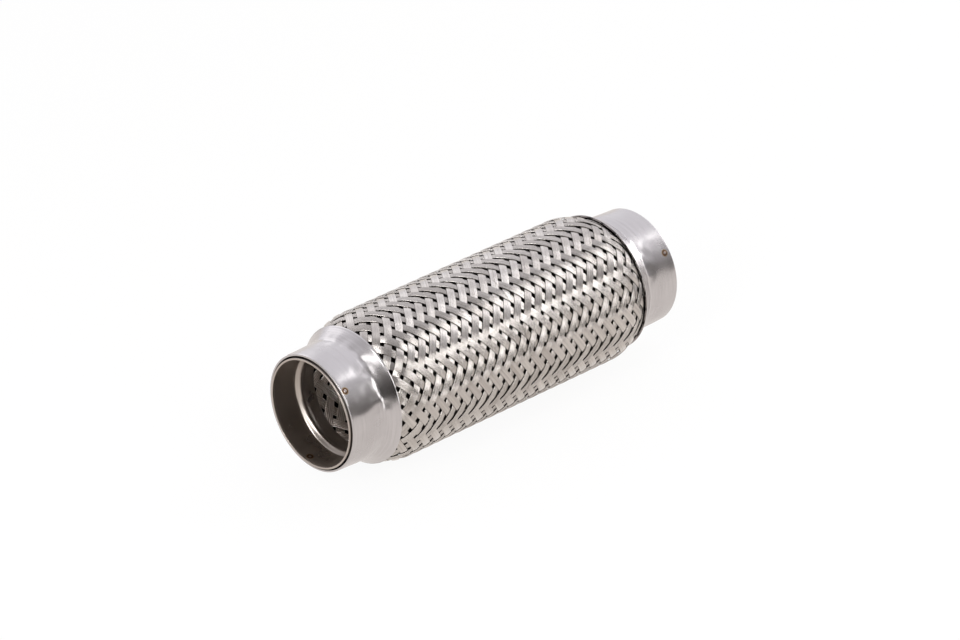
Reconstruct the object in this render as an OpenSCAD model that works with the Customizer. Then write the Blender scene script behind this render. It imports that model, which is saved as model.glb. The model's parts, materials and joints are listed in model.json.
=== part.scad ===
// Exhaust flex pipe: a corrugated bellows inside a woven sleeve, with a liner and a formed cap
// and a socket sleeve at each end. The pipe lies along X on its braid, with its near mouth at -X.

/* [Pipe] */
// Length from rim to rim
pipe_l = 200; // [170:1:280]
// Inside diameter of the two sockets
socket_d = 50; // [42:0.5:60]

/* [End sleeves] */
// Sheet thickness of a sleeve
sleeve_wall = 0.9; // [0.6:0.1:1.2]
// Depth of the socket, from the rim to the step that stops the pipe
socket_depth = 13; // [10:0.5:16]
// Length of the rounded step
step_l = 2.5; // [1.5:0.1:3.5]
// How far the neck steps in from the socket
neck_step = 1.4; // [1.2:0.1:2]
// Length of the neck behind the step
neck_l = 7.5; // [5:0.5:10]

/* [End caps] */
// Sheet thickness of a cap
cap_wall = 0.9; // [0.6:0.1:1.2]
// How far a cap's rim lies behind its sleeve's rim
cap_setback = 0.8; // [0.4:0.1:1.5]
// Length of the stub that clamps the layers
stub_l = 16.4; // [14:0.2:19]
// How much wider the stub is at its inner end than at its rim
stub_flare = 0.5; // [0.3:0.1:0.7]
// Length of the conical collar
collar_l = 7.7; // [6.5:0.1:10]
// Length of the rounded foot of the collar
collar_foot_l = 2.3; // [1.5:0.1:4]
// Rise of the collar from the stub to its free edge
collar_rise = 4.3; // [3.9:0.1:5.5]

/* [Bellows] */
// Sheet thickness of the bellows
bellows_wall = 0.2; // [0.15:0.05:0.3]
// Distance from one corrugation to the next
bellows_pitch = 6; // [5:0.1:7]

/* [Outer braid] */
// Ribbons laid in each direction
ribbons = 24; // [20:2:26]
// Distance along the pipe from one ribbon to the next
ribbon_pitch = 6.4; // [5.8:0.1:8]
// Thickness of the woven wall
braid_t = 1.4; // [1.2:0.1:1.8]
// Thickness of the braid where it is clamped flat in the stub
braid_clamped_t = 0.25; // [0.2:0.05:0.4]
// How far the braid stands above the collar's free edge
braid_proud = 2.8; // [2:0.1:3.5]
// Length over which the braid swells out of the collar
swell_l = 13; // [9:0.5:18]
// Depth of the small gaps between ribbons
gap_depth = 0.8; // [0.4:0.1:1]
// Depth of a ribbon where it dives under the next ones
dive_depth = 0.4; // [0.2:0.05:0.6]

/* [Inner braid] */
// Thickness of the liner
liner_t = 1; // [0.8:0.1:1.1]
// Ribbons laid in each direction in the liner
liner_ribbons = 16; // [12:2:18]
// Distance along the pipe from one ribbon of the liner to the next
liner_pitch = 8; // [7:0.2:10]
// Depth of the hollows between ribbons of the liner
liner_gap = 0.4; // [0.2:0.05:0.5]

/* [Fits] */
// Clearance between the flexible layers and the end fittings
end_fit = 0.1; // [0.05:0.01:0.2]
// Clearance between one flexible layer and the next
layer_fit = 0.05; // [0.03:0.01:0.1]

/* [Hidden] */
$fn = 180;

// Radii of the layers in a stub, from the inside out
socket_r = socket_d / 2;
sleeve_or = socket_r + sleeve_wall;
cuff_r = sleeve_or + end_fit;
cuff_or = cuff_r + bellows_wall;
braid_clamped_r = cuff_or + layer_fit + braid_clamped_t;
cap_stub_r = braid_clamped_r + end_fit + cap_wall;

// Stations along a half of the pipe, measured from the rim
half_l = pipe_l / 2;
collar_at = cap_setback + stub_l;
cap_end = collar_at + collar_l;
neck_at = socket_depth + step_l;
sleeve_end = neck_at + neck_l;

// Layers end this far behind a rim, and the liner this far behind a step
layer_end = 3.5;
liner_setback = 0.6;
liner_end = neck_at + liner_setback;

// Radius of the braid over the ribbons that lie on top
crest_r = cap_stub_r + stub_flare + collar_rise + braid_proud;
braid_r = crest_r - braid_t;

// A ribbon's share of the round, and the height of the axis over the floor
band_angle = 360 / ribbons;
axis_z = crest_r * cos(band_angle / 4);

// Points along a rounded stretch, and a small step for slopes
round_steps = 6;
slope_step = 0.05;

function ease(t) = let (u = max(0, min(1, t))) u * u * (3 - 2 * u);
function ramp(t) = max(0, min(1, t));
function reverse(list) = [for (i = [len(list) - 1:-1:0]) list[i]];

// Outside radius of a cap at a station, its slope, and a layer that lies a depth under it
function stub_share(s) = ramp((s - cap_setback) / stub_l);
function cone_run(u) = u <= 0 ? 0 : u < collar_foot_l ? u * u / (2 * collar_foot_l) : u - collar_foot_l / 2;
function cap_r(s) = cap_stub_r + stub_flare * stub_share(s)
  + collar_rise * cone_run(s - collar_at) / cone_run(collar_l);
function cap_slope(s) = (cap_r(s + slope_step) - cap_r(s - slope_step)) / (2 * slope_step);
function under_cap(s, depth) = cap_r(s) - depth * sqrt(1 + pow(cap_slope(s), 2));

// Outer and inner radius of the braid at a station
function braid_under_cap(s) = under_cap(s, cap_wall + end_fit);
function braid_out(s) = s <= cap_end
  ? braid_under_cap(s)
  : let (start = braid_under_cap(cap_end))
    start + (crest_r - start) * sin(90 * ramp((s - cap_end) / swell_l));
function braid_wall(s) = braid_clamped_t + stub_flare * stub_share(s)
  + (braid_t - braid_clamped_t - stub_flare) * ramp((s - collar_at) / collar_l);
function braid_slope(s) = (braid_out(s + slope_step) - braid_out(s - slope_step)) / (2 * slope_step);
function braid_in(s) = braid_out(s) - braid_wall(s) * sqrt(1 + pow(braid_slope(s), 2));

// Inside radius of a sleeve and its outside, a wall away
function sleeve_r(s) = socket_r - neck_step * ease((s - socket_depth) / step_l);
function sleeve_slope(s) = (sleeve_r(s + slope_step) - sleeve_r(s - slope_step)) / (2 * slope_step);
function sleeve_out(s) = sleeve_r(s) + sleeve_wall * sqrt(1 + pow(sleeve_slope(s), 2));
neck_or = socket_r - neck_step + sleeve_wall;

function stretch(from, to) = [for (i = [0:round_steps]) from + (to - from) * i / round_steps];
foot_stations = stretch(collar_at, collar_at + collar_foot_l);
swell_stations = stretch(cap_end, cap_end + swell_l);

// Turns a profile of [radius, station] round the pipe's axis, with station 0 at the near rim
module revolve(profile) {
  translate([-half_l, 0, axis_z])
    rotate([0, 90, 0])
      rotate_extrude()
        polygon(profile);
}

// A copy at the far end, mirrored about the middle of the pipe
module far_side() {
  mirror([1, 0, 0])
    children();
}

module end_cap() {
  stations = concat([cap_setback], foot_stations, [cap_end]);
  outside = [for (s = stations) [cap_r(s), s]];
  inside = [for (s = stations) [under_cap(s, cap_wall), s]];
  revolve(concat(outside, reverse(inside)));
}

module end_sleeve() {
  stations = concat([0], stretch(socket_depth, neck_at), [sleeve_end]);
  inside = [for (s = stations) [sleeve_r(s), s]];
  outside = [for (s = stations) [sleeve_out(s), s]];
  revolve(concat(outside, reverse(inside)));
}

// Points of an arc in a [radius, station] profile; angles count from the station axis
function arc(station, radius, r, from, to) = [
  for (i = [0:round_steps])
    let (a = from + (to - from) * i / round_steps)
      [radius + r * sin(a), station + r * cos(a)]
];

// The bellows: round crests and roots a quarter pitch in radius, joined by straight walls. The
// first crests are lower, where the braid comes down to the caps.
fold_r = bellows_pitch / 4;
root_r = cuff_r + bellows_wall / 2;
crest_room = layer_fit + bellows_wall / 2;
first_fold = cap_end + fold_r;
folds = 1 + 2 * floor((half_l - first_fold) / bellows_pitch);
function fold_at(k) = half_l + (k - (folds - 1) / 2) * bellows_pitch;
function from_rim(s) = min(s, pipe_l - s);
function fold_room(s) = min([for (side = [-1:1]) braid_in(s + side * (fold_r + bellows_wall))]);
function fold_crest(k) = max(root_r + 2 * fold_r, fold_room(from_rim(fold_at(k))) - crest_room);

// One face of the bellows, side away from its middle surface: + is the outside
function bellows_face(side) = concat(
  [[root_r + side, layer_end]],
  arc(fold_at(0) - bellows_pitch / 2, root_r + fold_r, fold_r - side, 270, 360),
  [for (k = [0:folds - 1]) each concat(
    arc(fold_at(k), fold_crest(k) - fold_r, fold_r + side, 180, 0),
    k < folds - 1
      ? arc(fold_at(k) + bellows_pitch / 2, root_r + fold_r, fold_r - side, 180, 360)
      : arc(fold_at(k) + bellows_pitch / 2, root_r + fold_r, fold_r - side, 180, 270)
  )],
  [[root_r + side, pipe_l - layer_end]]
);

module bellows() {
  color([0.45, 0.43, 0.41])
    revolve(concat(bellows_face(bellows_wall / 2), reverse(bellows_face(-bellows_wall / 2))));
}

// Rows round a weave: where ribbons dive, and a quarter and three quarters along each band.
// Even bands hold ribbons that turn with X, odd bands those that turn against it.
function weave_rows(bands, shares) = [for (b = [0:bands - 1]) for (v = shares) [b, v]];
function row_angle(row, bands) = (row[0] + row[1] - 0.5) * 360 / bands;
function row_lean(row) = (row[0] % 2 == 0 ? row[1] : 1 - row[1]) - 0.5;

// Columns along a weave, a half pitch apart on both sides of the middle of the pipe
function weave_columns(pitch, reach) = let (n = floor(reach / (pitch / 2) + 0.5))
  [for (j = [-n:n - 1]) [(j + 0.5) * pitch / 2, abs(j) % 2]];

// A plug with a woven face, from its points: rings along X of rows round the axis
module woven_plug(points, rows) {
  rings = len(points) / rows;
  skin = [for (i = [0:rings - 2]) for (k = [0:rows - 1])
    let (a = i * rows + k, b = i * rows + (k + 1) % rows)
      each [[a, a + rows, b + rows], [a, b + rows, b]]];
  near_face = [for (k = [0:rows - 1]) k];
  far_face = [for (k = [rows - 1:-1:0]) (rings - 1) * rows + k];
  translate([0, 0, axis_z])
    polyhedron(points, concat(skin, [near_face, far_face]));
}

// The outer braid. Its weave fades at the collars' edges, and plain rings lead on into the stubs.
weave_reach = half_l - cap_end;
weave_fade_l = 1.1 * ribbon_pitch;
braid_rows = weave_rows(ribbons, [0, 0.25, 0.75]);
plain_stations = concat([layer_end], foot_stations, [cap_end]);
braid_rings = concat(
  [for (s = plain_stations) [s - half_l, 0]],
  weave_columns(ribbon_pitch, weave_reach - ribbon_pitch / 4),
  [for (s = reverse(plain_stations)) [half_l - s, 0]]
);
function braid_fade(x) = ease((weave_reach - abs(x)) / weave_fade_l);
function braid_point(ring, row) = let (
    fade = braid_fade(ring[0]),
    x = ring[0] + ribbon_pitch * row_lean(row) * fade,
    between = (ring[1] + row[0]) % 2 == 0,
    depth = row[1] == 0 ? dive_depth : (between ? gap_depth : 0),
    r = braid_out(half_l - abs(x)) - depth * fade,
    a = row_angle(row, ribbons)
  ) [x, r * cos(a), r * sin(a)];

module outer_braid() {
  stations = concat(plain_stations, [for (i = [1:round_steps]) swell_stations[i]]);
  bore_near = [for (s = stations) [braid_in(s), s]];
  bore_far = [for (s = reverse(stations)) [braid_in(s), pipe_l - s]];
  bore_start = [[0, 0], [braid_in(layer_end), 0]];
  bore_end = [[braid_in(layer_end), pipe_l], [0, pipe_l]];
  color([0.72, 0.71, 0.70])
    difference() {
      woven_plug([for (ring = braid_rings) for (row = braid_rows) braid_point(ring, row)], len(braid_rows));
      revolve(concat(bore_start, bore_near, bore_far, bore_end));
    }
}

// The liner, woven on its inside between the two necks
liner_r = neck_or + end_fit;
liner_or = liner_r + liner_t;
liner_rows = weave_rows(liner_ribbons, [0, 0.5]);
liner_reach = half_l - sleeve_end;
liner_rings = weave_columns(liner_pitch, liner_reach);
function liner_fade(x) = ease((liner_reach - abs(x)) / liner_pitch);
function liner_point(ring, row) = let (
    fade = liner_fade(ring[0]),
    x = ring[0] + liner_pitch * row_lean(row) * fade,
    between = (ring[1] + row[0]) % 2 == 0,
    depth = row[1] == 0 ? liner_gap / 2 : (between ? liner_gap : 0),
    r = liner_r + depth * fade,
    a = row_angle(row, liner_ribbons)
  ) [x, r * cos(a), r * sin(a)];

// The round seat of the liner on a neck, open at the rim and a little longer than the neck
neck_seat_end = half_l - liner_rings[len(liner_rings) - 1][0] + liner_pitch / 4;
module neck_seat() {
  revolve([[0, 0], [liner_r, 0], [liner_r, neck_seat_end], [0, neck_seat_end]]);
}

module inner_braid() {
  color([0.40, 0.37, 0.35])
    difference() {
      revolve([[0, liner_end], [liner_or, liner_end], [liner_or, pipe_l - liner_end], [0, pipe_l - liner_end]]);
      woven_plug([for (ring = liner_rings) for (row = liner_rows) liner_point(ring, row)], len(liner_rows));
      neck_seat();
      far_side()
        neck_seat();
    }
}

module near_end_cap() {
  color([0.78, 0.77, 0.76])
    end_cap();
}

module far_end_cap() {
  color([0.78, 0.77, 0.76])
    far_side()
      end_cap();
}

module near_end_sleeve() {
  color([0.66, 0.64, 0.62])
    end_sleeve();
}

module far_end_sleeve() {
  color([0.66, 0.64, 0.62])
    far_side()
      end_sleeve();
}

near_end_cap();
far_end_cap();
near_end_sleeve();
far_end_sleeve();
bellows();
outer_braid();
inner_braid();
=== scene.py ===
# %% [markdown]
# # An exhaust flex pipe
# A flex pipe lets an engine rock while the exhaust behind it stays still. Two formed caps hold the ends of
# a woven steel sleeve, and under that sleeve lie a corrugated bellows and a woven liner. The CAD frame
# gives the true sizes and the moving bodies, so it is loaded first, and everything below is built in its
# metres.

# %% Load the frame
import json
import math

import bmesh
import bpy
from mathutils import Matrix, Vector, noise


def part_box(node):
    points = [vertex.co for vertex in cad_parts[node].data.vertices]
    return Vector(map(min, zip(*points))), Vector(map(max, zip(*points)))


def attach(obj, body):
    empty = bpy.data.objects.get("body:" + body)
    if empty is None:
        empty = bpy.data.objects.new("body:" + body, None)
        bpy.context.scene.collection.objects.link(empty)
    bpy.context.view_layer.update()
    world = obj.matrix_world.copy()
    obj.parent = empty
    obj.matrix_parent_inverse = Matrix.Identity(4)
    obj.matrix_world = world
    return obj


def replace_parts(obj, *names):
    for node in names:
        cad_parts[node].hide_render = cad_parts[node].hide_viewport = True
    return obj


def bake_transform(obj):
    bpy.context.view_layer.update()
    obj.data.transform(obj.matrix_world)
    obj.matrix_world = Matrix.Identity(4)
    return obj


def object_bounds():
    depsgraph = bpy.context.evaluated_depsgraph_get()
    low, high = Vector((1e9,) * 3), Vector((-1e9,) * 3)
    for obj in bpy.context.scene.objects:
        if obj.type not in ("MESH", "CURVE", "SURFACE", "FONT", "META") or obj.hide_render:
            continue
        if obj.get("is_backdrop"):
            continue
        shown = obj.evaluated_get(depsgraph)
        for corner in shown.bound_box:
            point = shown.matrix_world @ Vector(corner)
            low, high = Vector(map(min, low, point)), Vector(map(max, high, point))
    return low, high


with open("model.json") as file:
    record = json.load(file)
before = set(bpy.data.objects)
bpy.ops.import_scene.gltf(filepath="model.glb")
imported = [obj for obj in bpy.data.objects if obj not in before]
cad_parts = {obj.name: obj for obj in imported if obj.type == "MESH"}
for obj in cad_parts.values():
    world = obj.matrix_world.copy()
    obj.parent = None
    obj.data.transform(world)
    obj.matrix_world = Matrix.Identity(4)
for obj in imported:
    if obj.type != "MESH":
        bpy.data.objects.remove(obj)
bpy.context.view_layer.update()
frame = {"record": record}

MM = 0.001

# %% [markdown]
# ## Sizes
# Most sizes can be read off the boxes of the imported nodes, and so they follow the CAD model when it
# changes. A station is a distance along the pipe from the rim of a sleeve, the same at both ends. Only the
# lengths and rises of the cap's bends are written here, because a box doesn't show them.

# %% Sizes from the frame
near_mouth = next(m for m in frame["record"]["mounts"] if m["name"] == "near_socket")
axis_z = near_mouth["pos_m"][2]
socket_r = near_mouth["dims"]["r_mm"] * MM
socket_depth = near_mouth["dims"]["length_mm"] * MM
half_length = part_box("far_end_sleeve")[1].x


def station(node, corner):
    """Station of a node's lowest (0) or highest (1) corner, counted from the near rim."""
    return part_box(node)[corner].x + half_length


def half_height(node):
    """Outer radius of a node that is round about the pipe's axis."""
    low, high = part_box(node)
    return (high.z - low.z) / 2


cap_start = station("near_end_cap", 0)
cap_end = station("near_end_cap", 1)
sleeve_end = station("near_end_sleeve", 1)
layer_end = station("outer_braid", 0)
liner_end = station("inner_braid", 0)
collar_r = half_height("near_end_cap")
sleeve_outer_r = half_height("near_end_sleeve")
liner_outer_r = half_height("inner_braid")
sheet = sleeve_outer_r - socket_r
print(f"length {2 * half_length / MM:.0f} mm, socket {2 * socket_r / MM:.0f} mm, sheet {sheet / MM:.1f} mm")

# %% Sizes that a box doesn't show
stub_flare = 0.5 * MM
collar_length = 7.7 * MM
collar_rise = 4.3 * MM
foot_length = 2.3 * MM
stub_r = collar_r - collar_rise - stub_flare
collar_start = cap_end - collar_length
# The crests of the ribbons stop just short of the surface that the pipe lies on
crest_gap = 0.02 * MM
crest_r = axis_z - crest_gap
print(f"stub {2 * stub_r / MM:.1f} mm wide, collar {2 * collar_r / MM:.1f} mm wide")
print(f"braid {2 * crest_r / MM:.1f} mm wide")

# %% [markdown]
# ## Small helpers
# Colours are easiest to choose as sRGB hex values, but shaders work in linear light, so one function turns
# the one into the other. Node trees get long when each node takes five lines, so one function adds a node
# with its settings and links its inputs, in shader trees and in geometry trees alike. A Mix node has
# several sockets of one name, so those go by number: 2 and 3 mix numbers, 6 and 7 mix colours.

# %% Colour and nodes
def linear(hex_colour):
    """An sRGB hex colour such as "C8C4C0" as linear red, green, blue and alpha."""
    shares = [int(hex_colour[i:i + 2], 16) / 255 for i in (0, 2, 4)]
    return [c / 12.92 if c <= 0.04045 else ((c + 0.055) / 1.055) ** 2.4 for c in shares] + [1.0]


def add_node(tree, kind, inputs=None, **settings):
    """Adds a node. Inputs maps a socket's name or number to a value, or to a node or socket that feeds it."""
    node = tree.nodes.new(kind)
    for name, value in settings.items():
        setattr(node, name, value)
    for name, value in (inputs or {}).items():
        if isinstance(value, bpy.types.Node):
            value = value.outputs[0]
        if isinstance(value, bpy.types.NodeSocket):
            tree.links.new(value, node.inputs[name])
        else:
            node.inputs[name].default_value = value
    return node


def new_material(name):
    """An empty node material, with the tree to fill."""
    material = bpy.data.materials.new(name)
    material.use_nodes = True
    material.node_tree.nodes.clear()
    return material, material.node_tree


print("white is", linear("FFFFFF"))

# %% [markdown]
# ## Weld marks
# Three small spot welds near each rim tack the cap, the layers and the sleeve together. A spot weld is a
# pale button with a brown and straw heat ring round it, outside on the cap and inside on the sleeve. The
# rings could be painted on a UV map, but the steel below colours them by the distance to the nearest weld,
# which needs no map, so the places come first.

# %% Weld places
# Each weld is an angle round the axis in degrees and a distance from the rim in millimetres
weld_dots = {
    "near": [(136.6, 2.8), (53.0, 3.0), (280.0, 3.2)],
    "far": [(143.9, 4.0), (24.0, 3.6), (264.0, 3.6)],
}


def on_end(end, turn_deg, along_mm, r):
    """A point at one end of the pipe, at an angle from +Y towards +Z and a distance from the rim."""
    x = half_length - along_mm * MM
    turn = math.radians(turn_deg)
    return Vector((-x if end == "near" else x, r * math.cos(turn), axis_z + r * math.sin(turn)))


print("welds:", sum(len(dots) for dots in weld_dots.values()))

# %% Heat rings
heat_reach = 2.0 * MM
# From the outer edge of the ring inwards: straw, brown, dark brown and the pale edge of the button
heat_tints = ((0.22, "F3E2C4"), (0.40, "9A6A40"), (0.55, "7A5236"), (0.70, "EDE4DA"))


def heat_rings(tree, place, weld_r):
    """Adds a tint that is white all over, but for a ring round each weld at radius weld_r."""
    nearest = 1.0
    for point in [on_end(end, *dot, weld_r) for end, dots in weld_dots.items() for dot in dots]:
        gap = add_node(tree, "ShaderNodeVectorMath", {0: place, 1: point}, operation="DISTANCE")
        nearest = add_node(tree, "ShaderNodeMath", {0: nearest, 1: gap.outputs["Value"]}, operation="MINIMUM")
    heat = add_node(tree, "ShaderNodeMapRange", {"Value": nearest, "From Min": heat_reach, "From Max": 0.0})
    rings = add_node(tree, "ShaderNodeValToRGB", {"Fac": heat})
    rings.color_ramp.elements[0].color = linear("FFFFFF")
    rings.color_ramp.elements[1].color = linear("F4EEE6")
    for at, tint in heat_tints:
        rings.color_ramp.elements.new(at).color = linear(tint)
    return rings


print(f"heat rings: {2 * heat_reach / MM:.0f} mm across")

# %% [markdown]
# ## Bright rolled stainless steel
# The caps are pressed from bright stainless sheet. To the eye that is an even silver mirror that is a
# little blurred: fine lines run round the cap where the tool slid, the blur comes and goes in soft patches,
# and each weld leaves its heat ring. The lines run round the pipe, so a noise that is squeezed along X and
# drawn out across it makes them. An anisotropic shader would blur the mirror the same way, but it wouldn't
# show the lines themselves. The sleeves are the same sheet, duller inside, where the forming tool rubbed.

# %% Steel for caps and sleeves
# Real tool lines are finer than the camera can see, so they are drawn wider, just enough to show
line_width = 0.5 * MM
line_run = 25 * MM
line_strength = 0.35
patch_size = 14 * MM
# A noise texture seldom leaves this range
noise_low = 0.3
noise_high = 0.7


def rolled_steel(name, pale, dull, rough_low, rough_high, line_depth, weld_r):
    """Stainless sheet with lines round the pipe, soft patches of blur and heat rings at radius weld_r."""
    material, tree = new_material(name)
    place = add_node(tree, "ShaderNodeTexCoord").outputs["Object"]
    squeezed = add_node(tree, "ShaderNodeMapping",
                        {"Vector": place, "Scale": (1 / line_width, 1 / line_run, 1 / line_run)})
    lines = add_node(tree, "ShaderNodeTexNoise", {"Vector": squeezed, "Scale": 1.0, "Detail": 2.0})
    patches = add_node(tree, "ShaderNodeTexNoise", {"Vector": place, "Scale": 1 / patch_size, "Detail": 3.0})
    share = add_node(tree, "ShaderNodeMix", {"Factor": 0.5, 2: lines, 3: patches})
    tone = add_node(tree, "ShaderNodeMix", {"Factor": share, 6: linear(pale), 7: linear(dull)},
                    data_type="RGBA")
    rings = heat_rings(tree, place, weld_r)
    tinted = add_node(tree, "ShaderNodeMix", {"Factor": 1.0, 6: tone.outputs[2], 7: rings},
                      data_type="RGBA", blend_type="MULTIPLY")
    blur = add_node(tree, "ShaderNodeMapRange",
                    {"Value": patches, "From Min": noise_low, "From Max": noise_high,
                     "To Min": rough_low, "To Max": rough_high})
    bump = add_node(tree, "ShaderNodeBump",
                    {"Height": lines, "Strength": line_strength, "Distance": line_depth})
    steel = add_node(tree, "ShaderNodeBsdfPrincipled",
                     {"Base Color": tinted.outputs[2], "Metallic": 1.0, "Roughness": blur, "Normal": bump})
    add_node(tree, "ShaderNodeOutputMaterial", {0: steel})
    return material


cap_steel = rolled_steel("bright_rolled_stainless", "D0CDCE", "AEAAAA", rough_low=0.18, rough_high=0.30,
                         line_depth=0.008 * MM, weld_r=stub_r)
sleeve_steel = rolled_steel("dull_rolled_stainless", "C2BAB3", "AEA59E", rough_low=0.26, rough_high=0.42,
                            line_depth=0.02 * MM, weld_r=socket_r)
print("made", cap_steel.name, "and", sleeve_steel.name)

# %% [markdown]
# ## Stainless wire
# The braid is woven from ribbons of bright drawn wire, and the liner from duller wire. A wire is smooth
# along its length and shines in one narrow streak, and no two ribbons are quite the same grey. The wires
# are modelled, so the material only adds the tone of each ribbon, drawing lines along the wires and a
# little blur. A UV map could guide them, but the weaving below knows where each point lies on its ribbon,
# so it stores that as the attribute "lay": metres along the pipe, share of the lane across the ribbon, and
# the ribbon's number.

# %% Wire
# Drawing lines are far finer than a wire, so they are drawn about as wide as the braid's wires, to show
streak_width = 0.3 * MM
streak_run = 30 * MM
# Neighbouring ribbons take their streaks from places this far apart in the noise
ribbon_jump = 7.0
ribbon_tone = 0.4


def drawn_wire(name, pale, dull, rough_low, rough_high, lane_width):
    """Wire with a tone for each ribbon and lines along its wires, for ribbons that lie lane_width apart."""
    material, tree = new_material(name)
    lay = add_node(tree, "ShaderNodeAttribute", attribute_name="lay").outputs["Vector"]
    drawn = add_node(tree, "ShaderNodeMapping",
                     {"Vector": lay, "Scale": (1 / streak_run, lane_width / streak_width, ribbon_jump)})
    streaks = add_node(tree, "ShaderNodeTexNoise", {"Vector": drawn, "Scale": 1.0, "Detail": 2.0})
    number = add_node(tree, "ShaderNodeSeparateXYZ", {0: lay}).outputs[2]
    chance = add_node(tree, "ShaderNodeTexWhiteNoise", {"W": number}, noise_dimensions="1D").outputs["Value"]
    share = add_node(tree, "ShaderNodeMath", {0: chance, 1: ribbon_tone, 2: streaks},
                     operation="MULTIPLY_ADD")
    tone = add_node(tree, "ShaderNodeMix", {"Factor": share, 6: linear(pale), 7: linear(dull)},
                    data_type="RGBA")
    blur = add_node(tree, "ShaderNodeMapRange",
                    {"Value": streaks, "From Min": noise_low, "From Max": noise_high,
                     "To Min": rough_low, "To Max": rough_high})
    steel = add_node(tree, "ShaderNodeBsdfPrincipled",
                     {"Base Color": tone.outputs[2], "Metallic": 1.0, "Roughness": blur})
    add_node(tree, "ShaderNodeOutputMaterial", {0: steel})
    return material


braid_wire = drawn_wire("bright_drawn_stainless_wire", "DCD8D4", "AAA49F", rough_low=0.13, rough_high=0.24,
                        lane_width=5.2 * MM)
liner_wire = drawn_wire("dull_drawn_stainless_wire", "E6E0DB", "B8B0AA", rough_low=0.24, rough_high=0.36,
                        lane_width=6.2 * MM)
print("made", braid_wire.name, "and", liner_wire.name)

# %% [markdown]
# ## Formed foil, painted dark for shade
# The bellows is thin stainless foil, unevenly dull from forming. It only shows through the gaps of the
# braid, where it lies in deep shade, so its colour is painted near black as painted shade, and kept simple:
# one noise gives both its tone and its blur.

# %% Foil
spot_size = 4 * MM


def formed_foil(name, pale, dull, rough_low, rough_high):
    """Thin stainless foil with a scatter of dull spots from forming."""
    material, tree = new_material(name)
    place = add_node(tree, "ShaderNodeTexCoord").outputs["Object"]
    spots = add_node(tree, "ShaderNodeTexNoise", {"Vector": place, "Scale": 1 / spot_size, "Detail": 4.0})
    tone = add_node(tree, "ShaderNodeMix", {"Factor": spots, 6: linear(pale), 7: linear(dull)},
                    data_type="RGBA")
    blur = add_node(tree, "ShaderNodeMapRange", {"Value": spots, "To Min": rough_low, "To Max": rough_high})
    steel = add_node(tree, "ShaderNodeBsdfPrincipled",
                     {"Base Color": tone.outputs[2], "Metallic": 1.0, "Roughness": blur})
    add_node(tree, "ShaderNodeOutputMaterial", {0: steel})
    return material


# These near-black tones are painted shade for the gaps of the braid; the bare foil itself is grey steel
bellows_foil_painted_shade = formed_foil("stainless_foil_painted_shade", "3E3935", "2A2623", rough_low=0.3, rough_high=0.5)
print("made", bellows_foil_painted_shade.name)

# %% [markdown]
# ## Turned shells
# Caps, sleeves and the bellows are sheet metal that was formed round an axis. Each could be a Screw
# modifier on a curve, but here a closed outline of station and radius is turned by a short function,
# because it can then nudge each point a little. A pressed cap is never quite round, and those shallow dents
# are what bend the reflections on it.

# %% Steps and slopes
def limited(t):
    """The value t, kept between 0 and 1."""
    return max(0.0, min(1.0, t))


def eased(t):
    """A smooth rise from 0 to 1 as t goes from 0 to 1."""
    t = limited(t)
    return t * t * (3 - 2 * t)


def spread(start, end, steps):
    """Evenly spaced values from start to end, with both of them."""
    return [start + (end - start) * i / steps for i in range(steps + 1)]


print("a rise in four steps:", [round(eased(t), 2) for t in spread(0, 1, 4)])


# %% A turned shell
def turned(name, outline, end, segments, dent=None):
    """A closed outline of (station, radius) turned about the pipe's axis, mirrored for the far end.

    Dent gives how far a point moves outwards, from its station and its place round the axis."""
    side = -1 if end == "near" else 1
    bm = bmesh.new()
    rings = []
    for i in range(segments):
        turn = math.tau * i / segments
        ring = []
        for s, r in outline:
            x = side * (half_length - s)
            if dent:
                r += dent(s, Vector((x, r * math.cos(turn), r * math.sin(turn))))
            ring.append(bm.verts.new((x, r * math.cos(turn), axis_z + r * math.sin(turn))))
        rings.append(ring)
    for i, ring in enumerate(rings):
        following = rings[(i + 1) % segments]
        for j in range(len(outline)):
            k = (j + 1) % len(outline)
            bm.faces.new((ring[j], following[j], following[k], ring[k]))
    bmesh.ops.recalc_face_normals(bm, faces=bm.faces)
    mesh = bpy.data.meshes.new(name)
    bm.to_mesh(mesh)
    bm.free()
    mesh.shade_smooth()
    piece = bpy.data.objects.new(name, mesh)
    bpy.context.scene.collection.objects.link(piece)
    print(f"{name}: {2 * len(mesh.polygons)} triangles")
    return piece


# %% A sheet with two faces
lip = 0.2 * MM
lip_steps = 4
slope_step = 0.05 * MM


def below(radius, s, depth):
    """Radius of a face that lies depth under the face radius(s), measured square to it."""
    slope = (radius(s + slope_step) - radius(s - slope_step)) / (2 * slope_step)
    return radius(s) - depth * math.sqrt(1 + slope * slope)


def sheet_outline(stations, radius):
    """Both faces of a sheet that lies inwards of radius(station), with rounded edges."""
    corner = [(1 - math.cos(a), 1 - math.sin(a)) for a in spread(0, math.pi / 2, lip_steps)]
    first, last = stations[0], stations[-1]
    start_lip = [(first + lip * u, below(radius, first, lip * v)) for u, v in corner]
    start_lip_in = [(first + lip * u, below(radius, first, sheet - lip * v)) for u, v in corner]
    end_lip = [(last - lip * u, below(radius, last, lip * v)) for u, v in corner]
    end_lip_in = [(last - lip * u, below(radius, last, sheet - lip * v)) for u, v in corner]
    outer = start_lip + [(s, radius(s)) for s in stations[1:-1]] + end_lip[::-1]
    inner = end_lip_in + [(s, below(radius, s, sheet)) for s in stations[1:-1][::-1]] + start_lip_in[::-1]
    return outer + inner


print(f"edges rounded by {lip / MM:.1f} mm")

# %% [markdown]
# ## End caps
# A cap is one pressing: a stub that widens a little, and a conical collar with a rounded foot, whose free
# edge holds the braid. It mirrors the room more than any other piece, so it has many segments and softly
# rounded edges. Its dents are two layers of noise, a long wave all over and short dents that are strongest
# at the foot of the collar, and both die out towards the rim and the edge. Sculpted dents would do as well,
# but noise of a real size is the same in every run.

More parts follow.
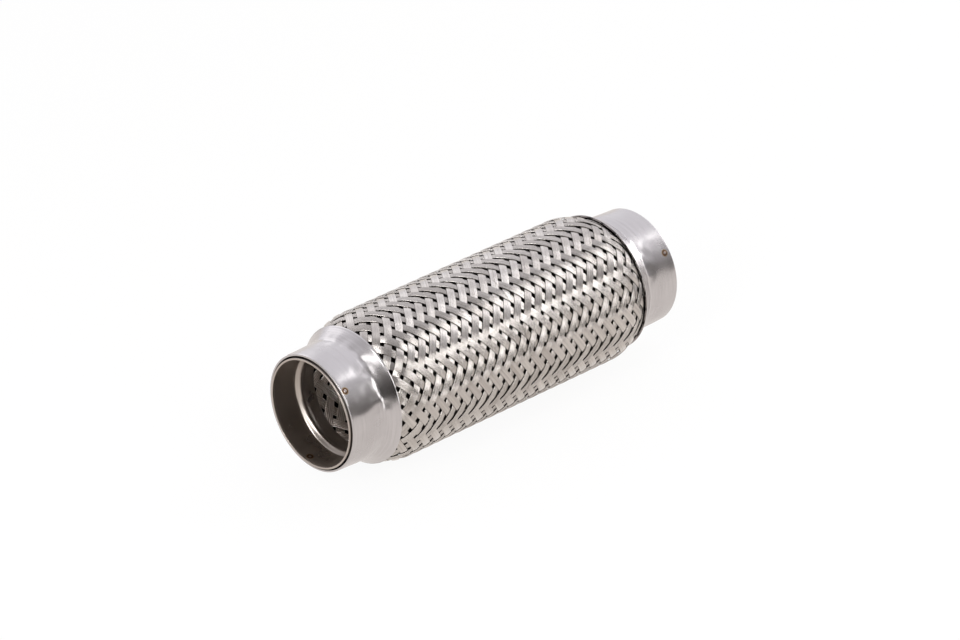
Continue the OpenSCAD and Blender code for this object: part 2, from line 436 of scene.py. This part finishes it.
# %% Outline and dents of a cap
dent_depth = 0.24 * MM
long_wave = 13 * MM
short_dent = 4.5 * MM
dent_share = 0.2
foot_dent_share = 1.2
foot_dent_reach = 8 * MM
calm_length = 4 * MM


def cone_run(u):
    """How far the collar has run up its slope at u behind its start, with the rounded foot taken in."""
    u = max(u, 0.0)
    return u * u / (2 * foot_length) if u < foot_length else u - foot_length / 2


def cap_radius(s):
    flare = stub_flare * limited((s - cap_start) / (collar_start - cap_start))
    return stub_r + flare + collar_rise * cone_run(s - collar_start) / cone_run(collar_length)


def cap_dent(s, point):
    swing = dent_depth * eased((s - cap_start) / calm_length) * eased((cap_end - s) / calm_length)
    dents = dent_share + foot_dent_share * eased(1 - abs(s - collar_start) / foot_dent_reach)
    return swing * (noise.noise(point / long_wave) + dents * noise.noise(point / short_dent))


foot_end = collar_start + foot_length
cap_stations = spread(cap_start, collar_start, steps=14)[:-1]
cap_stations += spread(collar_start, foot_end, steps=8)[:-1]
cap_stations += spread(foot_end, cap_end, steps=8)
print("stations along a cap:", len(cap_stations))

# %% [markdown]
# ## Sleeves
# The sleeve inside a cap is a short tube: the socket that the exhaust pipe slips into, a step with a low
# bead that stops the pipe, and a narrower neck for the liner. A lathe outline gives it too, with the most
# points on the step, because that is the bright ring that shows inside the mouth.

# %% Outline of a sleeve
neck_step = 1.4 * MM
step_length = 2.5 * MM
bead_rise = 0.5 * MM


def sleeve_radius(s):
    u = (s - socket_depth) / step_length
    return sleeve_outer_r - neck_step * eased(u) - bead_rise * eased(u) * eased(2 - u)


bead_end = socket_depth + 2 * step_length
sleeve_stations = spread(0, socket_depth, steps=8)[:-1]
sleeve_stations += spread(socket_depth, bead_end, steps=20)
sleeve_stations += spread(bead_end, sleeve_end, steps=3)[1:]
print("stations along a sleeve:", len(sleeve_stations))

# %% Caps and sleeves
ends = ("near", "far")
mirror_segments = 192
cap_outline = sheet_outline(cap_stations, cap_radius)
sleeve_outline = sheet_outline(sleeve_stations, sleeve_radius)
for end in ends:
    cap = turned(f"{end}_cap_pressing", cap_outline, end, mirror_segments, cap_dent)
    cap.data.materials.append(cap_steel)
    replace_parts(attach(cap, f"{end}_end"), f"{end}_end_cap")
    sleeve = turned(f"{end}_socket_sleeve", sleeve_outline, end, mirror_segments)
    sleeve.data.materials.append(sleeve_steel)
    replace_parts(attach(sleeve, f"{end}_end"), f"{end}_end_sleeve")

# %% [markdown]
# ## Bellows
# The bellows is the gas-tight part: thin foil rolled into round folds. The braid hides it but for the dark
# gaps between ribbons, where it must be there to close the view. An Array of one fold could make it, but
# the folds grow with the swelling braid, so a loop lays two arcs for each. It is made in two halves, a near
# one and a far one, that meet at the middle of the pipe.

# %% Outline of the bellows
foil = 0.2 * MM
fold_pitch = 6 * MM
fold_r = fold_pitch / 4
fold_steps = 4
fit = 0.1 * MM
root_r = sleeve_outer_r + fit + foil / 2
braid_wall = 1.4 * MM
# The folds keep clear of the braid by a fifth of its wall
braid_room = 1.2 * braid_wall
swell_length = 13 * MM


def braid_radius(s):
    """Outside of the braid: under the cap, then swelling out of the collar to its crest."""
    under = below(cap_radius, min(s, cap_end), sheet + fit)
    swell = limited((s - cap_end) / swell_length)
    return under + (crest_r - under) * math.sin(swell * math.pi / 2)


def fold_arc(at, r, size, start, stop):
    """Points of a round fold about a station and a radius, from one angle to another in degrees."""
    return [(at + size * math.cos(math.radians(a)), r + size * math.sin(math.radians(a)))
            for a in spread(start, stop, fold_steps)]


def bellows_face(side):
    """One face of a half of the bellows, from its end to the middle of the pipe."""
    count = int((half_length - cap_end - fold_r) / fold_pitch)
    points = [(layer_end, root_r + side)]
    for k in range(count, -1, -1):
        at = half_length - k * fold_pitch
        room = braid_radius(at - fold_r) - braid_room - foil
        crest = max(room, root_r + 2 * fold_r) - fold_r
        root_start = 180 if k < count else 270
        crest_stop = 0 if k else 90
        points += fold_arc(at - fold_pitch / 2, root_r + fold_r, fold_r - side, root_start, 360)
        points += fold_arc(at, crest, fold_r + side, 180, crest_stop)
    return points


bellows_outline = bellows_face(foil / 2) + bellows_face(-foil / 2)[::-1]
print("points round the bellows' section:", len(bellows_outline))

# %% Bellows halves
bellows_segments = 60
bellows = {end: turned(f"{end}_bellows_half", bellows_outline, end, bellows_segments) for end in ends}

# %% [markdown]
# ## A ribbon
# A braiding machine lays flat ribbons of fine wires side by side. Each wire could be a round curve, but the
# 480 wires of the braid would be far too many faces. So one ribbon is modelled straight, as a closed strip
# whose front has a round for each wire, and the weaving below copies and bends it. Its edges lie a little
# lower than its middle, as on the real braid, where a ribbon bulges over the ones that it crosses.

# %% A straight ribbon
wire_top = 0.95
back_inset = 0.03


def straight_ribbon(name, end, stations, outside, wall, wires, cover, crown, valley):
    """Closed strip of wires: X along the pipe, Y in shares of a lane, Z from -1 at its back to 1 in front.

    It covers a share of its lane. Its edges lie lower by the crown, and the wires part at the height of the
    valley. Each point also keeps outside(station), the radius that the ribbon is laid on, and wall(station),
    the share of its full wall that the layer has there."""
    side = -1 if end == "near" else 1
    outline = []
    for w in range(wires):
        for u, z in ((0.0, valley), (0.25, wire_top), (0.75, wire_top)):
            y = (w + u) / wires - 0.5
            outline.append((y * cover, z - crown * 4 * y * y))
    outline += [(cover / 2, valley - crown), (cover / 2 - back_inset, -1.0), (back_inset - cover / 2, -1.0)]
    bm = bmesh.new()
    radius_layer = bm.verts.layers.float.new("outside")
    wall_layer = bm.verts.layers.float.new("wall")
    rings = []
    for s in stations:
        ring = [bm.verts.new((side * (half_length - s), y, z)) for y, z in outline]
        for vert in ring:
            vert[radius_layer] = outside(s)
            vert[wall_layer] = wall(s)
        rings.append(ring)
    for a, b in zip(rings, rings[1:]):
        for j in range(len(outline)):
            k = (j + 1) % len(outline)
            bm.faces.new((a[j], a[k], b[k], b[j]))
    for ring in (rings[0], rings[-1]):
        for edge in bm.faces.new(ring).edges:
            edge.smooth = False
    mesh = bpy.data.meshes.new(name)
    bm.to_mesh(mesh)
    bm.free()
    print(f"{name}: {len(mesh.polygons)} faces")
    return mesh


# %% [markdown]
# ## The weave
# Twenty-four ribbons turn one way round the pipe and twenty-four the other way, and each passes over two
# and under two. Geometry Nodes copy the straight ribbon, one copy for each lane, and bend every point onto
# the pipe by a rule: the lane and the place along the pipe give the angle, and a wave that follows the
# crossing ribbons lifts it over or pushes it under. A rule like this could also be written in Python, but
# in nodes its sizes stay named inputs that are easy to change.

# %% Inputs of the weaving tree
def new_tree(name, result, inputs):
    """An empty geometry tree, the identifiers of its named inputs, and the sockets that give their values."""
    tree = bpy.data.node_groups.new(name, "GeometryNodeTree")
    identifiers = {}
    for label, kind in inputs.items():
        socket = tree.interface.new_socket(label, in_out="INPUT", socket_type="NodeSocket" + kind)
        identifiers[label] = socket.identifier
    tree.interface.new_socket(result, in_out="OUTPUT", socket_type="NodeSocketGeometry")
    return tree, identifiers, add_node(tree, "NodeGroupInput").outputs


weave, weave_inputs, given = new_tree("weave", "Weave", {
    "Ribbon": "Geometry", "Lanes": "Int", "Lane angle": "Float", "Lanes per metre": "Float", "Lift": "Float",
    "Half thickness": "Float", "Depth": "Float", "Looseness": "Float", "Material": "Material"})
print("inputs of the weave:", ", ".join(weave_inputs))

# %% One ribbon for each lane
first_lane = 0.25
points = add_node(weave, "GeometryNodeMeshLine", {"Count": given["Lanes"], "Offset": (0, 0, 0)})
copies = add_node(weave, "GeometryNodeInstanceOnPoints", {"Points": points, "Instance": given["Ribbon"]})
index = add_node(weave, "GeometryNodeInputIndex")
number = add_node(weave, "ShaderNodeMath", {0: index, 1: first_lane}, operation="ADD")
numbered = add_node(weave, "GeometryNodeStoreNamedAttribute",
                    {"Geometry": copies, "Name": "lane", "Value": number},
                    data_type="FLOAT", domain="INSTANCE")
laid = add_node(weave, "GeometryNodeRealizeInstances", {"Geometry": numbered})
print("first lane at", first_lane)

# %% Over two and under two
# The lift stays full over most of a crossing, and changes quickly between crossings
lift_turn = 0.7
lane = add_node(weave, "GeometryNodeInputNamedAttribute", {"Name": "lane"}, data_type="FLOAT")
position = add_node(weave, "GeometryNodeInputPosition")
along, across, through = add_node(weave, "ShaderNodeSeparateXYZ", {0: position}).outputs
walk = add_node(weave, "ShaderNodeMath", {0: along, 1: given["Lanes per metre"], 2: lane},
                operation="MULTIPLY_ADD")
turns = add_node(weave, "ShaderNodeMath", {0: walk, 1: across}, operation="ADD")
crossing = add_node(weave, "ShaderNodeMath", {0: walk, 1: turns}, operation="ADD")
phase = add_node(weave, "ShaderNodeMath", {0: crossing, 1: math.pi / 2}, operation="MULTIPLY")
swing = add_node(weave, "ShaderNodeMath", {0: phase}, operation="COSINE")
lift = add_node(weave, "ShaderNodeMapRange",
                {"Value": swing, "From Min": -lift_turn, "From Max": lift_turn,
                 "To Min": -1.0, "To Max": 1.0},
                interpolation_type="SMOOTHSTEP")
print("lift turns at", lift_turn, "of the swing")

# %% Depth below the outside of the layer
# A ribbon rises and sinks slowly along its wires, more quickly across them, and each ribbon by itself
loose_run = 20 * MM
loose_across = 3.0
loose_jump = 3.7
lay = add_node(weave, "ShaderNodeCombineXYZ", {0: along, 1: across, 2: lane})
spots = add_node(weave, "ShaderNodeVectorMath", {0: lay, 1: (1 / loose_run, loose_across, loose_jump)},
                 operation="MULTIPLY")
loose = add_node(weave, "ShaderNodeTexNoise", {"Vector": spots, "Scale": 1.0, "Detail": 1.0})
level = add_node(weave, "ShaderNodeMath", {0: lift, 1: given["Lift"], 2: given["Depth"]},
                 operation="MULTIPLY_ADD")
eased_off = add_node(weave, "ShaderNodeMath", {0: loose, 1: given["Looseness"], 2: level},
                     operation="MULTIPLY_ADD")
depth = add_node(weave, "ShaderNodeMath", {0: through, 1: given["Half thickness"], 2: eased_off},
                 operation="MULTIPLY_ADD")
print("looseness runs", loose_run / MM, "mm along a ribbon")

# %% Onto the pipe
outside = add_node(weave, "GeometryNodeInputNamedAttribute", {"Name": "outside"}, data_type="FLOAT")
wall = add_node(weave, "GeometryNodeInputNamedAttribute", {"Name": "wall"}, data_type="FLOAT")
radius = add_node(weave, "ShaderNodeMath", {0: depth, 1: wall, 2: outside}, operation="MULTIPLY_ADD")
angle = add_node(weave, "ShaderNodeMath", {0: turns, 1: given["Lane angle"]}, operation="MULTIPLY")
on_y = add_node(weave, "ShaderNodeCombineXYZ", {0: along, 1: radius, 2: axis_z})
place = add_node(weave, "ShaderNodeVectorRotate", {"Vector": on_y, "Center": (0, 0, axis_z), "Angle": angle},
                 rotation_type="X_AXIS")
stored = add_node(weave, "GeometryNodeStoreNamedAttribute", {"Geometry": laid, "Name": "lay", "Value": lay},
                  data_type="FLOAT_VECTOR", domain="POINT")
bent = add_node(weave, "GeometryNodeSetPosition", {"Geometry": stored, "Position": place})
smooth = add_node(weave, "GeometryNodeSetShadeSmooth", {"Geometry": bent})
dressed = add_node(weave, "GeometryNodeSetMaterial", {"Geometry": smooth, "Material": given["Material"]})
add_node(weave, "NodeGroupOutput", {0: dressed})
print("weaving tree:", len(weave.nodes), "nodes")


# %% A woven piece
def grown(name, mesh, tree, identifiers, values):
    """Runs a geometry tree on a mesh and keeps the result as a plain mesh in a new piece."""
    holder = bpy.data.objects.new(name + "_start", mesh)
    bpy.context.scene.collection.objects.link(holder)
    modifier = holder.modifiers.new(name, "NODES")
    modifier.node_group = tree
    for label, value in values.items():
        modifier[identifiers[label]] = value
    made = bpy.data.meshes.new_from_object(holder.evaluated_get(bpy.context.evaluated_depsgraph_get()))
    bpy.data.objects.remove(holder)
    bm = bmesh.new()
    bm.from_mesh(made)
    bmesh.ops.recalc_face_normals(bm, faces=bm.faces)
    bm.to_mesh(made)
    bm.free()
    made.name = name
    piece = bpy.data.objects.new(name, made)
    bpy.context.scene.collection.objects.link(piece)
    print(f"{name}: {sum(len(p.vertices) - 2 for p in made.polygons)} triangles")
    return piece


# %% [markdown]
# ## Outer braid
# The braid is what catches the eye, so it has ten round wires a ribbon. It is cut at the middle of the pipe
# into a near and a far half. It is pressed flat in the stub, and it dips under the collar's edge, which
# leaves the thin dark line that shows there.

# %% Run of the outer braid
edge_dip = 0.4 * MM
dip_length = 3 * MM
pressed_share = 0.18
braid_stations = spread(layer_end, half_length, steps=96)


def ribbon_radius(s):
    return braid_radius(s) - edge_dip * (1 - eased((s - cap_end) / dip_length))


def braid_wall_share(s):
    """The braid is clamped flat in the stub and reaches its full wall at the collar's edge."""
    return pressed_share + (1 - pressed_share) * limited((s - collar_start) / collar_length)


print("stations along the braid:", len(braid_stations))

# %% Outer braid
lanes = 24
ribbon_pitch = 6.4 * MM
wave = 0.28 * MM
half_wire = 0.17 * MM
looseness = 0.09 * MM
hands = {"rising": 1, "falling": -1}
outer_braid = {}
for end in ends:
    ribbon = straight_ribbon("straight_ribbon", end, braid_stations, ribbon_radius, braid_wall_share,
                             wires=10, cover=0.66, crown=0.7, valley=0.1)
    for way, hand in hands.items():
        outer_braid[end, way] = grown(f"{end}_{way}_ribbons", ribbon, weave, weave_inputs, {
            "Lanes": lanes, "Lane angle": math.tau / lanes, "Lanes per metre": hand / ribbon_pitch,
            "Lift": hand * wave, "Half thickness": half_wire, "Depth": -(wave + half_wire + looseness),
            "Looseness": looseness, "Material": braid_wire})

# %% [markdown]
# ## Inner braid
# The liner keeps the hot gas off the bellows. It is woven like the outer braid but seen from inside, so its
# wires face the axis. The same tree lays it on a plain round profile, with fewer ribbons of wider wires,
# parted by deep valleys so that they still read as wires in the dark of the mouth. It is clamped flat on
# the neck of the sleeve.

# %% Run of the inner braid
liner_swell = 3 * MM
clamped_share = 0.5
liner_stations = spread(liner_end, half_length, steps=60)


def liner_radius(s):
    return liner_outer_r


def liner_wall_share(s):
    """The liner is clamped flat on the neck and swells to its full wall behind it."""
    return clamped_share + (1 - clamped_share) * eased((s - sleeve_end) / liner_swell)


print("stations along the liner:", len(liner_stations))

# %% Inner braid
liner_lanes = 16
liner_pitch = 8 * MM
liner_wave = 0.55 * MM
liner_half_wire = 0.35 * MM
inner_braid = {}
for end in ends:
    ribbon = straight_ribbon("straight_liner_ribbon", end, liner_stations, liner_radius, liner_wall_share,
                             wires=5, cover=0.7, crown=0.2, valley=-0.6)
    for way, hand in hands.items():
        inner_braid[end, way] = grown(f"{end}_{way}_liner", ribbon, weave, weave_inputs, {
            "Lanes": liner_lanes, "Lane angle": math.tau / liner_lanes, "Lanes per metre": hand / liner_pitch,
            "Lift": -hand * liner_wave, "Half thickness": -liner_half_wire,
            "Depth": -(liner_wave + liner_half_wire), "Looseness": 0.0, "Material": liner_wire})

# %% [markdown]
# ## Flexible layers
# A flexible layer has one end clamped in a cap and its middle at rest. Tied to one body it would tear away
# from the other, so these layers are tied to no body here. Each half of the bellows gets the foil, every
# flexible piece has its transform baked into its points, and each takes the place of its CAD node.

# %% Bake the flexible layers and replace their CAD nodes
edge_x = half_length - cap_end
for end, body_pair, start_x, stop_x in (("near", ("near_end", "flexible_middle"), -edge_x, 0.0),
                                        ("far", ("flexible_middle", "far_end"), 0.0, edge_x)):
    bellows[end].data.materials.append(bellows_foil_painted_shade)
    layers = [(outer_braid[end, "rising"], "outer_braid", "braid_wire"),
              (outer_braid[end, "falling"], "outer_braid", "braid_wire"),
              (inner_braid[end, "rising"], "inner_braid", "liner_wire"),
              (inner_braid[end, "falling"], "inner_braid", "liner_wire"),
              (bellows[end], "bellows", "bellows_steel")]
    for piece, node, slot in layers:
        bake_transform(piece)
        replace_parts(piece, node)
    print(f"{end} half: {len(layers)} flexible pieces")

# %% [markdown]
# ## Spot welds
# Each spot weld stands up as a low round button. One button is modelled, and Geometry Nodes set a copy on
# every dot, turned to the dot's own outward direction. Six could be set by hand, but this way they sit on
# the same dots as the heat rings, which the cap's steel paints round them.

# %% The button tree
buttons, button_inputs, given = new_tree("weld_buttons", "Buttons", {
    "Dots": "Geometry", "Radius": "Float", "Height": "Float", "Material": "Material"})
ball = add_node(buttons, "GeometryNodeMeshUVSphere", {"Segments": 24, "Rings": 12, "Radius": 1.0})
size = add_node(buttons, "ShaderNodeCombineXYZ", {0: given["Radius"], 1: given["Radius"], 2: given["Height"]})
outward = add_node(buttons, "GeometryNodeInputNamedAttribute", {"Name": "outward"}, data_type="FLOAT_VECTOR")
facing = add_node(buttons, "FunctionNodeAlignRotationToVector", {"Vector": outward}, axis="Z")
copies = add_node(buttons, "GeometryNodeInstanceOnPoints",
                  {"Points": given["Dots"], "Instance": ball, "Rotation": facing, "Scale": size})
smooth = add_node(buttons, "GeometryNodeSetShadeSmooth", {"Geometry": copies})
real = add_node(buttons, "GeometryNodeRealizeInstances", {"Geometry": smooth})
dressed = add_node(buttons, "GeometryNodeSetMaterial", {"Geometry": real, "Material": given["Material"]})
add_node(buttons, "NodeGroupOutput", {0: dressed})
print("button tree:", len(buttons.nodes), "nodes")

# %% Spot welds
button_r = 1.0 * MM
button_rise = 0.16 * MM
# The middle of a button lies just under the cap's face, which is a little wider there than at the rim
button_seat = 0.03 * MM
for end, dots in weld_dots.items():
    mesh = bpy.data.meshes.new(f"{end}_weld_dots")
    mesh.from_pydata([on_end(end, *dot, stub_r + button_seat) for dot in dots], [], [])
    outward = mesh.attributes.new("outward", "FLOAT_VECTOR", "POINT")
    for item, (turn_deg, _) in zip(outward.data, dots):
        item.vector = (0, math.cos(math.radians(turn_deg)), math.sin(math.radians(turn_deg)))
    welds = grown(f"{end}_spot_welds", mesh, buttons, button_inputs,
                  {"Radius": button_r, "Height": button_rise, "Material": cap_steel})
    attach(welds, f"{end}_end")

# %% [markdown]
# ## Floor
# The pipe lies on white paper. A plain white floor would turn grey away from the lamps, so to camera and
# mirror rays it is mostly an even white glow, and the rest of it is matte paint that holds the pipe's
# shadow. In the metal's mirror the glow is a little warm, which suits the underside of the pipe. Diffuse
# rays see only the matte paint.

# %% Paper
glow_most = 0.93
paper, tree = new_material("white_paper")
path = add_node(tree, "ShaderNodeLightPath").outputs
seen = add_node(tree, "ShaderNodeMath", {0: path["Is Camera Ray"], 1: path["Is Glossy Ray"]},
                operation="MAXIMUM")
mirrored = add_node(tree, "ShaderNodeMath", {0: seen, 1: path["Is Transmission Ray"]}, operation="MAXIMUM")
glow_share = add_node(tree, "ShaderNodeMath", {0: mirrored, 1: glow_most}, operation="MULTIPLY")
matte = add_node(tree, "ShaderNodeBsdfDiffuse", {"Color": linear("F4F2F0")})
tint = add_node(tree, "ShaderNodeMix",
                {"Factor": path["Is Camera Ray"], 6: linear("FBF5F0"), 7: linear("FFFFFF")},
                data_type="RGBA")
glow = add_node(tree, "ShaderNodeEmission", {"Color": tint.outputs[2], "Strength": 1.0})
mixed = add_node(tree, "ShaderNodeMixShader", {0: glow_share, 1: matte, 2: glow})
add_node(tree, "ShaderNodeOutputMaterial", {0: mixed})
print("made", paper.name)

# %% Floor
floor_half = 5.0
floor_z = -0.05 * MM
corners = [(x * floor_half, y * floor_half, floor_z) for x, y in ((-1, -1), (1, -1), (1, 1), (-1, 1))]
floor_mesh = bpy.data.meshes.new("floor")
floor_mesh.from_pydata(corners, [], [(0, 1, 2, 3)])
floor_mesh.materials.append(paper)
floor = bpy.data.objects.new("floor", floor_mesh)
bpy.context.scene.collection.objects.link(floor)
floor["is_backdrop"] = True
print(f"floor: {2 * floor_half:.0f} m wide")

# %% [markdown]
# ## Room
# Bright metal shows what stands around it, so the room is what gives it form. A room of one even grey would
# leave the caps flat, so this one goes from a pale wall behind the pipe, high up, to a dark one in front. A
# colour ramp on the angle to the pale wall does that, and the camera itself sees plain white.

# %% Room
bright_wall = Vector((0.55, 0.62, 0.56)).normalized()
wall_reach = 0.75
room_strength = 1.15
world = bpy.data.worlds.new("pale_room")
bpy.context.scene.world = world
world.use_nodes = True
tree = world.node_tree
tree.nodes.clear()
toward = add_node(tree, "ShaderNodeTexCoord").outputs["Generated"]
facing = add_node(tree, "ShaderNodeVectorMath", {0: toward, 1: bright_wall}, operation="DOT_PRODUCT")
share = add_node(tree, "ShaderNodeMapRange",
                 {"Value": facing.outputs["Value"], "From Min": -wall_reach, "From Max": wall_reach})
walls = add_node(tree, "ShaderNodeValToRGB", {"Fac": share})
walls.color_ramp.elements[0].color = linear("2A2624")
walls.color_ramp.elements[1].color = linear("F6F5FA")
walls.color_ramp.elements.new(0.5).color = linear("7C7876")
room = add_node(tree, "ShaderNodeBackground", {"Color": walls, "Strength": room_strength})
white = add_node(tree, "ShaderNodeBackground", {"Color": linear("FFFFFF"), "Strength": 1.0})
seen = add_node(tree, "ShaderNodeLightPath").outputs["Is Camera Ray"]
both = add_node(tree, "ShaderNodeMixShader", {0: seen, 1: room, 2: white})
add_node(tree, "ShaderNodeOutputWorld", {0: both})
print("room:", len(tree.nodes), "nodes")

# %% [markdown]
# ## Lamps
# A lamp matters twice on metal: it lights the piece, and it is seen in it as a bright patch. So each lamp
# is a soft box that is placed by the angle at which the metal mirrors it. The one on the right and the tall
# one at the left front draw the bands on the caps, the two in front give the braid its glints, the weak one
# behind shapes the back, the small one high on the right puts a highlight on the stub, and the small strong
# one shines into the near mouth, onto the step and the liner.

# %% Lamps
pipe_middle = Vector((0, 0, axis_z))
lamp_distance = 1.2


def soft_lamp(name, azimuth, elevation, wide_deg, tall_deg, brightness):
    """A soft box that looks at the pipe. Azimuth counts from +X towards +Y, brightness 1 is paper white."""
    a, e = math.radians(azimuth), math.radians(elevation)
    away = Vector((math.cos(a) * math.cos(e), math.sin(a) * math.cos(e), math.sin(e)))
    data = bpy.data.lights.new(name, "AREA")
    data.shape = "RECTANGLE"
    data.size = 2 * lamp_distance * math.tan(math.radians(wide_deg / 2))
    data.size_y = 2 * lamp_distance * math.tan(math.radians(tall_deg / 2))
    data.energy = brightness * math.pi * data.size * data.size_y
    lamp = bpy.data.objects.new(name, data)
    lamp.location = pipe_middle + away * lamp_distance
    lamp.rotation_mode = "QUATERNION"
    lamp.rotation_quaternion = away.to_track_quat("Z", "Y")
    bpy.context.scene.collection.objects.link(lamp)
    print(f"{name}: {data.energy:.1f} W")


soft_lamp("right_lamp", 354, 19, wide_deg=26, tall_deg=26, brightness=3.8)
soft_lamp("left_front_lamp", 196, 30, wide_deg=20, tall_deg=56, brightness=3.4)
soft_lamp("right_front_lamp", 276, 37, wide_deg=25, tall_deg=28, brightness=3.8)
soft_lamp("low_front_lamp", 264, 8, wide_deg=22, tall_deg=14, brightness=2.6)
soft_lamp("back_lamp", 80, 26, wide_deg=36, tall_deg=30, brightness=0.6)
soft_lamp("upper_right_lamp", 338, 50, wide_deg=16, tall_deg=14, brightness=1.6)
soft_lamp("mouth_lamp", 200, 34, wide_deg=12, tall_deg=12, brightness=12.0)

# %% [markdown]
# ## Camera
# The photograph was taken with a long lens from above the near mouth. Turn, tilt, distance and lens were
# fitted to the two mouths and the two collar edges, and the small offsets put the pipe where it stands in
# the frame.

# %% Camera
camera_turn = math.radians(46.772)
camera_tilt = math.radians(29.102)
camera_distance = 2356.8 * MM
shift_right = -1.249 * MM
shift_down = 7.775 * MM
level_ahead = Vector((math.cos(camera_turn), math.sin(camera_turn), 0))
forward = level_ahead * math.cos(camera_tilt) - Vector((0, 0, math.sin(camera_tilt)))
right = forward.cross(Vector((0, 0, 1))).normalized()
up = right.cross(forward)
camera_data = bpy.data.cameras.new("camera")
camera_data.sensor_width = 36
camera_data.lens = 197.28
camera = bpy.data.objects.new("camera", camera_data)
camera.matrix_world = Matrix((right, up, -forward)).transposed().to_4x4()
camera.location = pipe_middle - right * shift_right + up * shift_down - forward * camera_distance
bpy.context.scene.collection.objects.link(camera)
bpy.context.scene.camera = camera
bpy.context.scene.view_settings.view_transform = "Standard"
print("camera at", [round(c, 3) for c in camera.location])

# %% [markdown]
# ## Sizes and finish
# The dressed pipe should keep the CAD size, so the size of its box is printed before the script ends.

# %% Finish
low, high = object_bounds()
print(f"dressed pipe: {(high[0] - low[0]) / MM:.1f} mm long and {(high[2] - low[2]) / MM:.1f} mm high")
